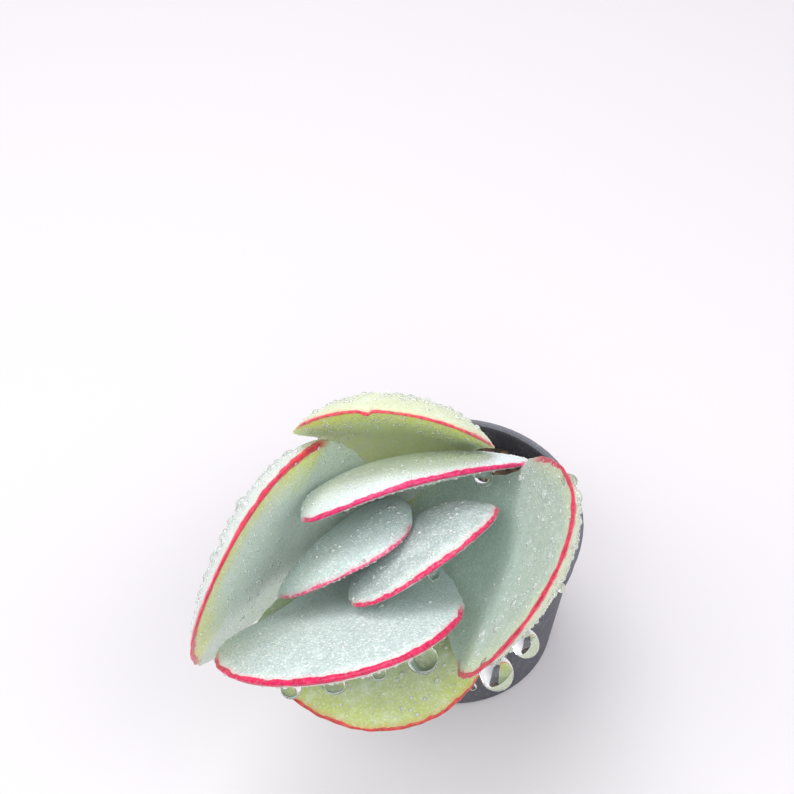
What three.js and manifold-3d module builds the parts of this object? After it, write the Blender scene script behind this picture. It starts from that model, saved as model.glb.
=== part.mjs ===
// A small succulent with eight thick silver leaves in crossed pairs, leaning out of a round nursery pot.
// Millimetres, +Z up, origin at the middle of the pot's base. The plant leans towards -Y.

import * as THREE from 'three';
import { mergeVertices } from 'three/addons/utils/BufferGeometryUtils.js';
import Module from 'manifold-3d';

const wasm = await Module();
wasm.setup();

// Pot, all sizes in millimetres
const POT_HEIGHT = 48.5;
const POT_BASE_RADIUS = 27;
const POT_WALL_TOP_RADIUS = 29.4;
const POT_COLLAR_RADIUS = 30.2;
const POT_RIM_RADIUS = 30.8;
const POT_COLLAR_HEIGHT = 9;
const POT_RIM_HEIGHT = 2;
const POT_WALL = 1.1;
const POT_FLOOR = 1.6;
const POT_FOOT_ROUND = 1.3;
const POT_COLLAR_STEP = 0.8;
const POT_RIM_STEP = 0.6;
const POT_RIM_ROUND = 0.5;
const POT_SIDES = 64;
const DRAIN_COUNT = 6;
const DRAIN_RADIUS = 3.2;
const DRAIN_RING_RADIUS = 15;
const DRAIN_SIDES = 20;

// Potting mix that fills the pot
const CLEARANCE = 0.3;
const SOIL_EDGE_HEIGHT = 42;
const SOIL_CROWN = 1.6;
const SOIL_RELIEF = 0.55;
const BROAD_CRUMBS = 1;
const FINE_CRUMBS = 1.9;
const SOIL_RINGS = 7;

// Stem: rises out of the mix, bends over and carries the leaf pairs on its straight upper part
const STEM_FOOT = new THREE.Vector3(-9, 3, 20);
const STEM_RADIUS_FOOT = 3.6;
const STEM_RADIUS_TOP = 2.2;
const STEM_FOOT_PULL = 16;
const STEM_NECK_PULL = 8;
const STEM_NECK_LENGTH = 4;
const STEM_SIDES = 12;
const STEM_STEPS = 26;
const STEM_FOOT_FREE = 0.02;
const STEM_STOPS_BELOW = 0.6;
const SCAR_SWELL = 0.35;
const SCAR_COUNT = 11;
const SCARS_END_AT = 0.6;

// Head of leaves: where its axis starts, and how the axis leans
const HEAD_ROOT = new THREE.Vector3(-15.3, -7.8, 53.4);
const HEAD_LEAN_AZIMUTH = -110.7;
const HEAD_LEAN_ELEVATION = 56.1;
const PAIR_LEVELS = [0.1, 6.4, 12, 15];

// Leaf form shared by all leaves: how the lens thins to its rim, and how thick rim and base are
const TIP_ROUNDNESS = 0.95;
const BASE_ROUNDNESS = 1.15;
const WEDGE = 0.16;
const WEDGE_POWER = 1.5;
const LENS_POWER = 2.2;
const UPPER_ROUNDNESS = 0.9;
const LOWER_ROUNDNESS = 0.6;
const UPPER_SHARE = 0.85;
const LOWER_SHARE = 1.15;
const RIM_HALF = 0.4;
const BASE_HALF = 1.6;
const BASE_BLEND_START = 0.6;
const CUP_LOST_AT_BASE = 0.7;
const CUP_LOSS_POWER = 2.5;
const NECK_SHARE = 0.4;
const SHOULDER_TURN = -153;
const SHOULDER_POWER = 9;
const LEAF_RINGS = [0.3, 0.55, 0.75, 0.9, 1];
const LEAF_SIDES = 36;

// One entry per leaf. pair counts up the stem; facing turns round the head's axis in degrees;
// reach is where the blade starts out from the axis, and drop is how far below that its neck sits;
// spread opens the leaf away from the axis and side leans it along its own width, in degrees;
// bend curls the tip inwards and cup hollows the width, both as shares of length and half width;
// widest is where along the blade it is widest, and skew makes one half wider than the other;
// shoulder, where given, fills out the lower part of one half as a share of half the width.
const LEAVES = [
  {
    name: 'leaf_first_back', pair: 0, facing: 103, reach: 16.5, drop: 2, spread: 32, side: -6.5,
    width: 42.5, length: 48, thick: 8.6, bend: 0.48, cup: 0.36,
    widest: 0.6, skew: 0.04,
  },
  {
    name: 'leaf_second_left', pair: 1, facing: 166, reach: 14, drop: 1, spread: 27, side: 23.5,
    width: 56.5, length: 55.5, thick: 9.4, bend: 0.47, cup: 0.13,
    widest: 0.44, skew: -0.25, shoulder: 0.05,
  },
  {
    name: 'leaf_third_back', pair: 2, facing: 124, reach: 16, drop: 0.3, spread: -23, side: -24.5,
    width: 51.5, length: 40.5, thick: 5, bend: -0.05, cup: 0.15,
    widest: 0.66, skew: 0.12,
  },
  {
    name: 'leaf_heart_left', pair: 3, facing: 131.5, reach: 6.5, drop: 0, spread: -27.5, side: 10,
    width: 33, length: 36.5, thick: 5.2, bend: -0.02, cup: 0.08,
    widest: 0.61, skew: -0.22,
  },
  {
    name: 'leaf_heart_right', pair: 3, facing: -32.5, reach: 4, drop: 0, spread: 3, side: 24.5,
    width: 36, length: 36, thick: 5.6, bend: -0.36, cup: -0.18,
    widest: 0.61, skew: 0.2,
  },
  {
    name: 'leaf_third_front', pair: 2, facing: -66, reach: 13, drop: 1.1, spread: 13, side: -10,
    width: 53.5, length: 53, thick: 7.4, bend: -0.11, cup: -0.01,
    widest: 0.58, skew: 0.06,
  },
  {
    name: 'leaf_second_right', pair: 1, facing: 0, reach: 18, drop: 0, spread: 43.5, side: 8,
    width: 46, length: 63.5, thick: 8.8, bend: 0.36, cup: 0.38,
    widest: 0.52, skew: 0.21, shoulder: 0.36,
  },
  {
    name: 'leaf_first_front', pair: 0, facing: -75, reach: 7.5, drop: 0, spread: 36, side: 6,
    width: 51.5, length: 45.5, thick: 8.2, bend: -0.25, cup: 0.15,
    widest: 0.59, skew: 0.09,
  },
];

const rad = THREE.MathUtils.degToRad;

function material(color, roughness) {
  return new THREE.MeshStandardMaterial({ color, roughness, metalness: 0 });
}

const potPlastic = material(0x4b4b52, 0.75);
const pottingMix = material(0x3c2f27, 0.95);
const stemBark = material(0x8c7a66, 0.85);
const leafSilver = material(0xc4d2c8, 0.6);

// Turns a closed three.js geometry into a solid that can be cut, and back
function toSolid(geometry) {
  const bare = geometry.clone();
  bare.deleteAttribute('normal');
  bare.deleteAttribute('uv');
  const merged = mergeVertices(bare, 1e-4);
  return new wasm.Manifold(new wasm.Mesh({
    numProp: 3,
    vertProperties: new Float32Array(merged.attributes.position.array),
    triVerts: new Uint32Array(merged.index.array),
  }));
}

function toGeometry(solid) {
  const mesh = solid.getMesh();
  const geometry = new THREE.BufferGeometry();
  geometry.setAttribute('position', new THREE.BufferAttribute(mesh.vertProperties, 3));
  geometry.setIndex(new THREE.BufferAttribute(mesh.triVerts, 1));
  geometry.computeVertexNormals();
  return geometry;
}

// Joins rings of points, all with the same count, into a closed skin with a point at each end
function skin(rings, first, last) {
  const count = rings[0].length;
  const positions = [first, ...rings.flat(), last].flatMap((p) => [p.x, p.y, p.z]);
  const index = [];
  const at = (ring, k) => 1 + ring * count + (k % count);
  const end = 1 + rings.length * count;
  for (let k = 0; k < count; k += 1) {
    index.push(0, at(0, k + 1), at(0, k));
    for (let ring = 0; ring + 1 < rings.length; ring += 1) {
      index.push(at(ring, k), at(ring, k + 1), at(ring + 1, k + 1));
      index.push(at(ring, k), at(ring + 1, k + 1), at(ring + 1, k));
    }
    index.push(end, at(rings.length - 1, k), at(rings.length - 1, k + 1));
  }
  const geometry = new THREE.BufferGeometry();
  geometry.setAttribute('position', new THREE.Float32BufferAttribute(positions, 3));
  geometry.setIndex(index);
  geometry.computeVertexNormals();
  return geometry;
}

// Thin plastic pot with a collar, a rolled rim and drain holes in its floor
function potWallRadius(z) {
  const share = z / (POT_HEIGHT - POT_COLLAR_HEIGHT);
  return POT_BASE_RADIUS + (POT_WALL_TOP_RADIUS - POT_BASE_RADIUS) * share;
}

function potGeometry() {
  const collarFoot = POT_HEIGHT - POT_COLLAR_HEIGHT;
  const rimFoot = POT_HEIGHT - POT_RIM_HEIGHT;
  const inner = POT_COLLAR_RADIUS - POT_WALL;
  const profile = [
    [0, 0],
    [POT_BASE_RADIUS - POT_FOOT_ROUND, 0],
    [potWallRadius(POT_FOOT_ROUND), POT_FOOT_ROUND],
    [potWallRadius(collarFoot / 2), collarFoot / 2],
    [POT_WALL_TOP_RADIUS, collarFoot],
    [POT_COLLAR_RADIUS, collarFoot + POT_COLLAR_STEP],
    [POT_COLLAR_RADIUS, rimFoot - POT_RIM_STEP],
    [POT_RIM_RADIUS, rimFoot],
    [POT_RIM_RADIUS, POT_HEIGHT - POT_RIM_ROUND],
    [POT_RIM_RADIUS - POT_RIM_ROUND, POT_HEIGHT],
    [inner + POT_RIM_ROUND, POT_HEIGHT],
    [inner, POT_HEIGHT - POT_RIM_ROUND],
    [inner, collarFoot + POT_COLLAR_STEP],
    [POT_WALL_TOP_RADIUS - POT_WALL, collarFoot],
    [potWallRadius(POT_FLOOR) - POT_WALL, POT_FLOOR],
    [0, POT_FLOOR],
  ].map(([x, y]) => new THREE.Vector2(x, y));
  const lathe = new THREE.LatheGeometry(profile, POT_SIDES);
  lathe.rotateX(Math.PI / 2);
  return lathe;
}

function drainHole(turn) {
  const hole = new THREE.CylinderGeometry(DRAIN_RADIUS, DRAIN_RADIUS, 3 * POT_FLOOR, DRAIN_SIDES);
  hole.rotateX(Math.PI / 2);
  hole.translate(DRAIN_RING_RADIUS * Math.cos(turn), DRAIN_RING_RADIUS * Math.sin(turn), 0);
  return hole;
}

function makePot() {
  let solid = toSolid(potGeometry());
  for (let k = 0; k < DRAIN_COUNT; k += 1) {
    solid = solid.subtract(toSolid(drainHole((k * 2 * Math.PI) / DRAIN_COUNT)));
  }
  return toGeometry(solid);
}

// Centre line of the stem: a smooth bend from the foot into the straight axis of the head
const headAxis = new THREE.Vector3(
  Math.cos(rad(HEAD_LEAN_ELEVATION)) * Math.cos(rad(HEAD_LEAN_AZIMUTH)),
  Math.cos(rad(HEAD_LEAN_ELEVATION)) * Math.sin(rad(HEAD_LEAN_AZIMUTH)),
  Math.sin(rad(HEAD_LEAN_ELEVATION)),
);
const stemTop = HEAD_ROOT.clone().addScaledVector(headAxis, PAIR_LEVELS[3] - STEM_STOPS_BELOW);
const stemNeck = HEAD_ROOT.clone().addScaledVector(headAxis, -STEM_NECK_LENGTH);
const stemLine = new THREE.CurvePath();
stemLine.add(new THREE.CubicBezierCurve3(
  STEM_FOOT,
  STEM_FOOT.clone().add(new THREE.Vector3(0, 0, STEM_FOOT_PULL)),
  stemNeck.clone().addScaledVector(headAxis, -STEM_NECK_PULL),
  stemNeck,
));
stemLine.add(new THREE.LineCurve3(stemNeck, stemTop));

function stemRadius(share) {
  return STEM_RADIUS_FOOT + (STEM_RADIUS_TOP - STEM_RADIUS_FOOT) * share;
}

// Radius of the stem at a level along the head's axis
function stemRadiusAtLevel(level) {
  const length = stemLine.getLength();
  return stemRadius(1 - (PAIR_LEVELS[3] - STEM_STOPS_BELOW - level) / length);
}

// The stem swells a little where old leaves dropped off, below the head
function scarSwell(share) {
  if (share > SCARS_END_AT) return 0;
  return SCAR_SWELL * Math.sin((share / SCARS_END_AT) * Math.PI * SCAR_COUNT) ** 4;
}

function sweepAlongStem(startShare, radiusAt) {
  const rings = [];
  const points = [];
  for (let k = 0; k <= STEM_STEPS; k += 1) {
    const share = startShare + ((1 - startShare) * k) / STEM_STEPS;
    const point = stemLine.getPointAt(share);
    const along = stemLine.getTangentAt(share);
    const acrossA = new THREE.Vector3(1, 0, 0).cross(along).normalize();
    const acrossB = along.clone().cross(acrossA).normalize();
    const radius = radiusAt(share);
    const ring = [];
    for (let side = 0; side < STEM_SIDES; side += 1) {
      const turn = (side * 2 * Math.PI) / STEM_SIDES;
      ring.push(point.clone()
        .addScaledVector(acrossA, radius * Math.cos(turn))
        .addScaledVector(acrossB, radius * Math.sin(turn)));
    }
    rings.push(ring);
    points.push(point);
  }
  return skin(rings, points[0], points[STEM_STEPS]);
}

function stemGeometry() {
  return sweepAlongStem(STEM_FOOT_FREE, (share) => stemRadius(share) + scarSwell(share));
}

// Potting mix: fills the pot, with a slightly domed crumbly top and a plain hole for the stem
function soilTop(x, y) {
  const r = Math.hypot(x, y) / POT_WALL_TOP_RADIUS;
  const broad = Math.sin(x * BROAD_CRUMBS + 1) * Math.cos(y * BROAD_CRUMBS);
  const fine = Math.sin((x - y) * FINE_CRUMBS) / 2;
  return SOIL_EDGE_HEIGHT + SOIL_CROWN * (1 - r * r) + SOIL_RELIEF * (broad + fine);
}

function soilGeometry() {
  const floor = POT_FLOOR + CLEARANCE;
  const collarFoot = POT_HEIGHT - POT_COLLAR_HEIGHT;
  const wallGap = POT_WALL + CLEARANCE;
  const topRadius = POT_WALL_TOP_RADIUS - wallGap;
  const ringOf = (radius, height) => {
    const ring = [];
    for (let k = 0; k < POT_SIDES; k += 1) {
      const turn = (k * 2 * Math.PI) / POT_SIDES;
      const x = radius * Math.cos(turn);
      const y = radius * Math.sin(turn);
      ring.push(new THREE.Vector3(x, y, height(x, y)));
    }
    return ring;
  };
  const rings = [
    ringOf(potWallRadius(floor) - wallGap, () => floor),
    ringOf(topRadius, () => collarFoot),
  ];
  for (let k = SOIL_RINGS; k >= 1; k -= 1) {
    rings.push(ringOf((topRadius * k) / SOIL_RINGS, soilTop));
  }
  return skin(rings, new THREE.Vector3(0, 0, floor), new THREE.Vector3(0, 0, soilTop(0, 0)));
}

function makeSoil() {
  const hole = sweepAlongStem(0, (share) => stemRadius(share) + SCAR_SWELL + CLEARANCE);
  return toGeometry(toSolid(soilGeometry()).subtract(toSolid(hole)));
}

// Outline of a leaf for a turn from the tip, as shares of half width and length: round, with a
// slightly wedged base
function outline(turn, leaf) {
  const c = Math.cos(turn);
  const s = Math.sin(turn);
  if (c >= 0) return [s, leaf.widest + (1 - leaf.widest) * c ** TIP_ROUNDNESS];
  const fuller = (leaf.shoulder ?? 0) * Math.max(0, Math.cos(turn - rad(SHOULDER_TURN))) ** SHOULDER_POWER;
  const across = s * (1 - WEDGE * (-c) ** WEDGE_POWER) - fuller;
  return [across, leaf.widest * (1 - (-c) ** BASE_ROUNDNESS)];
}

// Height of the leaf's middle surface: the bend along its length and the cup across its width
function middleHeight(across, along, leaf) {
  const cupGrowth = 1 - CUP_LOST_AT_BASE * Math.max(0, 1 - along) ** CUP_LOSS_POWER;
  return leaf.bend * leaf.length * along ** 2 + leaf.cup * (leaf.width / 2) * across ** 2 * cupGrowth;
}

// Half thickness on one side: a thick lens, fuller on its outer side, with a thin rim and blunter base
function halfThickness(share, turn, side, leaf) {
  const towardsBase = Math.max(0, -Math.cos(turn) - BASE_BLEND_START) / (1 - BASE_BLEND_START);
  const edge = RIM_HALF + (BASE_HALF - RIM_HALF) * towardsBase ** 2;
  const roundness = side > 0 ? UPPER_ROUNDNESS : LOWER_ROUNDNESS;
  return edge + (leaf.thick / 2 - edge) * (1 - share ** LENS_POWER) ** roundness;
}

// A leaf in its own frame: +X across, +Y from base to tip, +Z out of its upper, inner face
function leafGeometry(leaf) {
  const ringOf = (share, side) => {
    const ring = [];
    for (let k = 0; k < LEAF_SIDES; k += 1) {
      const turn = Math.PI + (side * k * 2 * Math.PI) / LEAF_SIDES;
      const [across, along] = outline(turn, leaf);
      const inset = leaf.widest + share * (along - leaf.widest);
      ring.push(leafPoint(share * across, inset, share, turn, side, leaf));
    }
    return ring;
  };
  const lower = LEAF_RINGS.map((share) => ringOf(share, -1));
  const upper = LEAF_RINGS.map((share) => flipped(ringOf(share, 1)));
  const middle = (side) => leafPoint(0, leaf.widest, 0, 0, side, leaf);
  return skin([...lower, ...upper.reverse()], middle(-1), middle(1));
}

// The lower part of the blade is drawn in to the stem, as a thick neck that curves out from it
function leafPoint(across, along, share, turn, side, leaf) {
  const part = side > 0 ? UPPER_SHARE : LOWER_SHARE;
  const half = part * halfThickness(share, turn, side, leaf);
  const height = middleHeight(across, along, leaf) + side * half;
  const skewed = across + leaf.skew * across ** 2;
  const point = new THREE.Vector3((skewed * leaf.width) / 2, along * leaf.length, height);
  const pull = Math.max(0, 1 - along / NECK_SHARE) ** 2;
  return point.addScaledVector(leaf.neck, pull);
}

// The two faces walk round the outline opposite ways, so one of them is turned back
function flipped(ring) {
  return [ring[0], ...ring.slice(1).reverse()];
}

// Where a leaf sits: its blade starts out from the head's axis, turned by its facing, spread and
// side lean, and its neck reaches back from there to the stem, in the leaf's own frame
const headSide = new THREE.Vector3(0, 0, 1).cross(headAxis).normalize();
const headUp = headAxis.clone().cross(headSide);

function leafPose(leaf) {
  const facing = rad(leaf.facing);
  const outwards = headSide.clone()
    .multiplyScalar(Math.cos(facing))
    .addScaledVector(headUp, Math.sin(facing));
  const sideways = headUp.clone()
    .multiplyScalar(Math.cos(facing))
    .addScaledVector(headSide, -Math.sin(facing));
  const along = headAxis.clone()
    .addScaledVector(outwards, Math.tan(rad(leaf.spread)))
    .addScaledVector(sideways, Math.tan(rad(leaf.side)))
    .normalize();
  const inwards = outwards.clone().negate().addScaledVector(along, outwards.dot(along)).normalize();
  const across = along.clone().cross(inwards);
  const level = PAIR_LEVELS[leaf.pair];
  const start = HEAD_ROOT.clone().addScaledVector(headAxis, level).addScaledVector(outwards, leaf.reach);
  const seatLevel = level - leaf.drop;
  const seatReach = stemRadiusAtLevel(seatLevel) + CLEARANCE + BASE_HALF;
  const seat = HEAD_ROOT.clone().addScaledVector(headAxis, seatLevel).addScaledVector(outwards, seatReach);
  const back = seat.sub(start);
  const neck = new THREE.Vector3(back.dot(across), back.dot(along), back.dot(inwards));
  return { start, neck, turn: new THREE.Matrix4().makeBasis(across, along, inwards) };
}

function addMesh(parent, name, geometry, finish) {
  const mesh = new THREE.Mesh(geometry, finish);
  mesh.name = name;
  parent.add(mesh);
  return mesh;
}

const group = new THREE.Group();
addMesh(group, 'pot', makePot(), potPlastic);
addMesh(group, 'soil', makeSoil(), pottingMix);
addMesh(group, 'stem', stemGeometry(), stemBark);

const head = new THREE.Group();
group.add(head);
for (const leaf of LEAVES) {
  const pose = leafPose(leaf);
  const mesh = addMesh(head, leaf.name, leafGeometry({ ...leaf, neck: pose.neck }), leafSilver);
  mesh.position.copy(pose.start);
  mesh.quaternion.setFromRotationMatrix(pose.turn);
}

export default group;
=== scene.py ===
# Looks of a small potted succulent: thick silver-green leaves with a thin crimson margin, wet with drops.
# The scene is in metres, +Z up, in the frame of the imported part. The values below are in millimetres and
# degrees, unless a comment says otherwise, and colours are display values of 0 to 255.

import math
import random

import bmesh
import bpy
import numpy as np
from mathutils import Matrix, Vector


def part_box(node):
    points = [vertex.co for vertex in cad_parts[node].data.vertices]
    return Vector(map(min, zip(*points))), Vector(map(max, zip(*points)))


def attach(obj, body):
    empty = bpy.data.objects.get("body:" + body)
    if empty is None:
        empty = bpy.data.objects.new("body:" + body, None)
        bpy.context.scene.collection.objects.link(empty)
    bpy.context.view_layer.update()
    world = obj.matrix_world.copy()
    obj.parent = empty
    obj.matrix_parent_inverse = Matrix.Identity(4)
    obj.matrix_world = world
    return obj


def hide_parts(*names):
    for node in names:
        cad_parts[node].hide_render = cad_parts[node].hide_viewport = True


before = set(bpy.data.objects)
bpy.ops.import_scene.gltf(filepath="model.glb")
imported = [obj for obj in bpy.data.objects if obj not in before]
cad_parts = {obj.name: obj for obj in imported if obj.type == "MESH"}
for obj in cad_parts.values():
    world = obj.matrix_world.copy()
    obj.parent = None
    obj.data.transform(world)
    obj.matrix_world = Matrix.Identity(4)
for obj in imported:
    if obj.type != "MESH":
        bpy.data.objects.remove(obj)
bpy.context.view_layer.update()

MM = 0.001
SEED = 11

# Camera, with its focal length in pixels of the square frame
FRAME_PIXELS = 794
FOCAL_PIXELS = 1300
SENSOR_MM = 36
CAMERA_AT = (-15.2, -184.1, 312.9)
CAMERA_PITCH = 50
CAMERA_NEAR = 10

# Floor and lights, in metres and watts
FLOOR_REACH = 3.0
FLOOR_TONE = (216, 213, 217)
LIGHTS_AIM_AT = (-0.015, -0.01, 0.06)
PANELS = [
    dict(name="sky_panel", at=(-0.18, 0.32, 0.85), size=0.6, power=4.0, colour=(1.0, 0.99, 0.98)),
    dict(name="left_panel", at=(-0.5, -0.25, 0.85), size=0.6, power=2.8, colour=(1.0, 1.0, 1.0)),
    dict(name="right_panel", at=(0.5, -0.25, 0.85), size=0.6, power=2.6, colour=(1.0, 1.0, 1.0)),
    dict(name="front_panel", at=(0.0, -0.62, 0.85), size=0.7, power=3.4, colour=(0.99, 0.99, 1.0)),
]
WORLD_COLOUR = (0.93, 0.92, 0.96, 1.0)
WORLD_STRENGTH = 0.52

# Pot and potting mix, as in the solids
POT_HEIGHT = 48.5
POT_COLLAR_HEIGHT = 9
SOIL_FOOT_INSET = 2.3
SOIL_EDGE_HEIGHT = 42
SOIL_CROWN = 1.6

# Pot and potting mix, finer. A crumb's height comes first, then how fast it repeats over the top
POT_CREASE_ANGLE = 50
# Depth below the pot's top over which the rim is paler: partly dust, partly a painted highlight where light
# catches the rim
POT_DUSTY_AND_LIT_RIM = 2.4
SOIL_SIDES = 160
SOIL_RINGS = 56
BROAD_CRUMB = 0.5
BROAD_CRUMB_SHIFT = 1
MIDDLE_CRUMB = (0.35, 2.7, 1.9)
FINE_CRUMB = (0.3, 5.1, 4.3, 6.7, 3.1)

# Grit on the mix, with the ranges for its size, for its stretch along x, y and z, and for its corners
GRIT_COUNT = 420
GRIT_RADII = (0.35, 1.3)
GRIT_SHRINK = (0.6, 1)
GRIT_STRETCH = ((0.7, 1.4), (0.7, 1.2), (0.5, 0.9))
GRIT_CORNERS = (0.85, 1.15)
GRIT_EDGE_CLEARANCE = 1.5
GRIT_LIFT = 0.25

# Stem, as in the solids
STEM_FOOT = (-9, 3, 20)
STEM_FOOT_PULL = 16
STEM_NECK_PULL = 8
STEM_NECK_LENGTH = 4
STEM_RADIUS_FOOT = 3.6
STEM_RADIUS_TOP = 2.2
STEM_STOPS_BELOW = 0.6
CLEARANCE = 0.3

# Stem, finer. A fibre is its height, its count round the stem and how fast it winds up the stem
STEM_CURVE_POINTS = 200
STEM_STARTS_AT = 0.02
STEM_SIDES = 40
STEM_STEPS = 150
SCAR_COUNT = 11
SCARS_END_AT = 0.6
SCAR_SHARPNESS = 6
SCAR_SWELL = 0.35
STEM_FIBRES = ((0.08, 7, 9), (0.06, 13, -31))

# Head of leaves, as in the solids
HEAD_ROOT = (-15.3, -7.8, 53.4)
HEAD_LEAN_AZIMUTH = -110.7
HEAD_LEAN_ELEVATION = 56.1
PAIR_LEVELS = (0.1, 6.4, 12, 15)

# Leaf form, as in the solids
TIP_ROUNDNESS = 0.95
BASE_ROUNDNESS = 1.15
WEDGE = 0.16
WEDGE_POWER = 1.5
LENS_POWER = 2.2
UPPER_ROUNDNESS = 0.9
LOWER_ROUNDNESS = 0.6
UPPER_SHARE = 0.85
LOWER_SHARE = 1.15
RIM_HALF = 0.4
BASE_HALF = 1.6
BASE_BLEND_START = 0.6
CUP_LOST_AT_BASE = 0.7
CUP_LOSS_POWER = 2.5
NECK_SHARE = 0.4
SHOULDER_TURN = -153
SHOULDER_POWER = 9

# Leaf form, finer: the skin's steps, a raised and lumpy rim, a slow wave round the margin, given as weight,
# count and share of the leaf's own phase, and ripples over the faces
LEAF_SIDES = 288
FACE_RINGS = 40
RING_CROWDING = 1.7
RIM_RINGS = 7
RIM_BULGE = 0.45
RIM_LUMPS = 0.16
RIM_LUMP_TERMS = ((17, 1), (29, -1), (43, 0))
MARGIN_WAVE = 0.22
MARGIN_WAVE_TERMS = ((1, 3, 1), (0.7, 5, 2.1), (0.5, 9, -1))
MARGIN_WAVE_POWER = 6
FACE_WAVE = 0.12
FACE_WAVES_ACROSS = 7
FACE_WAVES_ALONG = 9
FACE_WAVE_POWER = 4
NOTCH_LIFT = 0.7
PHASE_STEP = 1.7

# Margin line, its blush and the band inside it: the degrees over which the line fades at its ends, how soft
# it is beyond and within its half width, how much it wanders, and the strengths of the tones. The blush is
# a pink tint that is partly a painted highlight beside the line
LINE_FADE = 14
LINE_SOFT_BEYOND = 0.14
LINE_SOFT_WITHIN = 0.1
LINE_SHADE = 0.8
BLUSH_AND_HIGHLIGHT_REACH = 1.3
BLUSH_AND_HIGHLIGHT_START_SHARE = 0.6
BLUSH_AND_HIGHLIGHT_STRENGTH = 0.3
LINE_SWELL = 1.1
LINE_FRAY = 0.8
BAND_WANDER = 9
BAND_END = 0.5
BAND_STRENGTH = 0.9

# Tones shared by all leaves
BLOOM_PALE = (226, 238, 236)
BLOOM_RUBBED = (120, 146, 128)
# bright specks: partly bloom, partly painted glints of tiny drops
BLOOM_SPECK_AND_GLINT = (246, 250, 248)
BLOOM_PIT = (112, 140, 126)

# Tones of the pot, the mix, the grit, the bark and the water
POT_DARK = (66, 66, 74)
POT_LIGHT = (86, 87, 96)
POT_SCRATCH = (150, 150, 158)
POT_SPECK = (205, 205, 210)
# Paler tone along the rim's top: partly dust, partly a painted highlight
POT_DUST_AND_RIM_HIGHLIGHT = (140, 142, 152)
MIX_DARK = (44, 32, 24)
MIX_LIGHT = (86, 66, 50)
MIX_FLECK = (140, 118, 92)
GRIT_BROWN = (98, 76, 58)
GRIT_PALE = (190, 182, 168)
GRIT_STAIN = (70, 56, 44)
BARK_DARK = (104, 84, 66)
BARK_LIGHT = (150, 130, 104)
BARK_SCAR = (176, 162, 138)
BARK_CRACK = (70, 54, 42)
# Near-white tone of the water. Where a drop is not wholly clear, it shows as an opaque white share, painted
# light in place of the brightness of the drops
WATER_TONE = (250, 253, 252)
WATER_IOR = 1.33

# One entry per leaf. The first two lines are the values of the solids. The third has the tones of the inner
# face, of its deep part near the base and of the outer face, which are partly the leaf's own colour and
# partly painted fill light, set lighter where a face lies in shade. The fourth has the tone and reach of
# the band inside the margin, and how thick the specks lie, the bright ones partly bloom and partly painted
# glints of tiny drops.
# The last has the tone and half width of the margin line, how broken it is, and the turns from the tip
# between which it shows. A notch in the margin is its turn, its depth and its width in degrees
LEAVES = {
    "leaf_first_back": dict(
        pair=0, facing=103, reach=16.5, drop=2, spread=32, side=-6.5,
        width=42.5, length=48, thick=8.6, bend=0.48, cup=0.36, widest=0.6, skew=0.04,
        face=(226, 238, 132), deep=(224, 236, 172), outer=(208, 216, 176),
        band=(222, 234, 40), band_reach=17, specks=0.3,
        margin=(232, 62, 84), line=0.82, broken=0.15, shows=(-62, 84), notch=(-10, 1.6, 3),
    ),
    "leaf_second_left": dict(
        pair=1, facing=166, reach=14, drop=1, spread=27, side=23.5,
        width=56.5, length=55.5, thick=9.4, bend=0.47, cup=0.13, widest=0.44, skew=-0.25, shoulder=0.05,
        face=(218, 234, 219), deep=(218, 233, 222), outer=(206, 214, 206),
        band=(222, 228, 104), band_reach=14, specks=0.5,
        margin=(228, 12, 70), line=1.2, broken=0.05, shows=(-58, 100),
    ),
    "leaf_third_back": dict(
        pair=2, facing=124, reach=16, drop=0.3, spread=-23, side=-24.5,
        width=51.5, length=40.5, thick=5, bend=-0.05, cup=0.15, widest=0.66, skew=0.12,
        face=(212, 222, 212), deep=(206, 216, 206), outer=(214, 226, 232),
        band=(214, 222, 208), band_reach=4, specks=0.5,
        margin=(232, 32, 110), line=0.9, broken=0.1, shows=(-88, 68),
    ),
    "leaf_heart_left": dict(
        pair=3, facing=131.5, reach=6.5, drop=0, spread=-27.5, side=10,
        width=33, length=36.5, thick=5.2, bend=-0.02, cup=0.08, widest=0.61, skew=-0.22,
        face=(196, 210, 206), deep=(186, 202, 198), outer=(186, 203, 202),
        band=(206, 216, 208), band_reach=4, specks=0.5,
        margin=(230, 80, 128), line=0.62, broken=0.6, shows=(-68, 85),
    ),
    "leaf_heart_right": dict(
        pair=3, facing=-32.5, reach=4, drop=0, spread=3, side=24.5,
        width=36, length=36, thick=5.6, bend=-0.36, cup=-0.18, widest=0.61, skew=0.2,
        face=(166, 181, 180), deep=(168, 184, 181), outer=(206, 220, 216),
        band=(208, 220, 216), band_reach=4, specks=0.55,
        margin=(228, 30, 98), line=0.7, broken=0.2, shows=(-68, 92),
    ),
    "leaf_third_front": dict(
        pair=2, facing=-66, reach=13, drop=1.1, spread=13, side=-10,
        width=53.5, length=53, thick=7.4, bend=-0.11, cup=-0.01, widest=0.58, skew=0.06,
        face=(182, 197, 197), deep=(200, 215, 213), outer=(212, 224, 208),
        band=(214, 227, 224), band_reach=4, specks=0.65,
        margin=(228, 8, 90), line=0.9, broken=0.08, shows=(-102, 72),
    ),
    "leaf_second_right": dict(
        pair=1, facing=0, reach=18, drop=0, spread=43.5, side=8,
        width=46, length=63.5, thick=8.8, bend=0.36, cup=0.38, widest=0.52, skew=0.21, shoulder=0.36,
        face=(174, 195, 178), deep=(190, 212, 199), outer=(212, 222, 184),
        band=(200, 216, 176), band_reach=8, specks=0.45,
        margin=(228, 14, 74), line=1.22, broken=0.1, shows=(-80, 104),
    ),
    "leaf_first_front": dict(
        pair=0, facing=-75, reach=7.5, drop=0, spread=36, side=6,
        width=51.5, length=45.5, thick=8.2, bend=-0.25, cup=0.15, widest=0.59, skew=0.09,
        face=(178, 190, 144), deep=(164, 178, 134), outer=(204, 216, 160),
        band=(190, 202, 112), band_reach=10, specks=0.25,
        margin=(214, 60, 60), line=0.46, broken=0.12, shows=(-66, 74),
    ),
}

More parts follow.
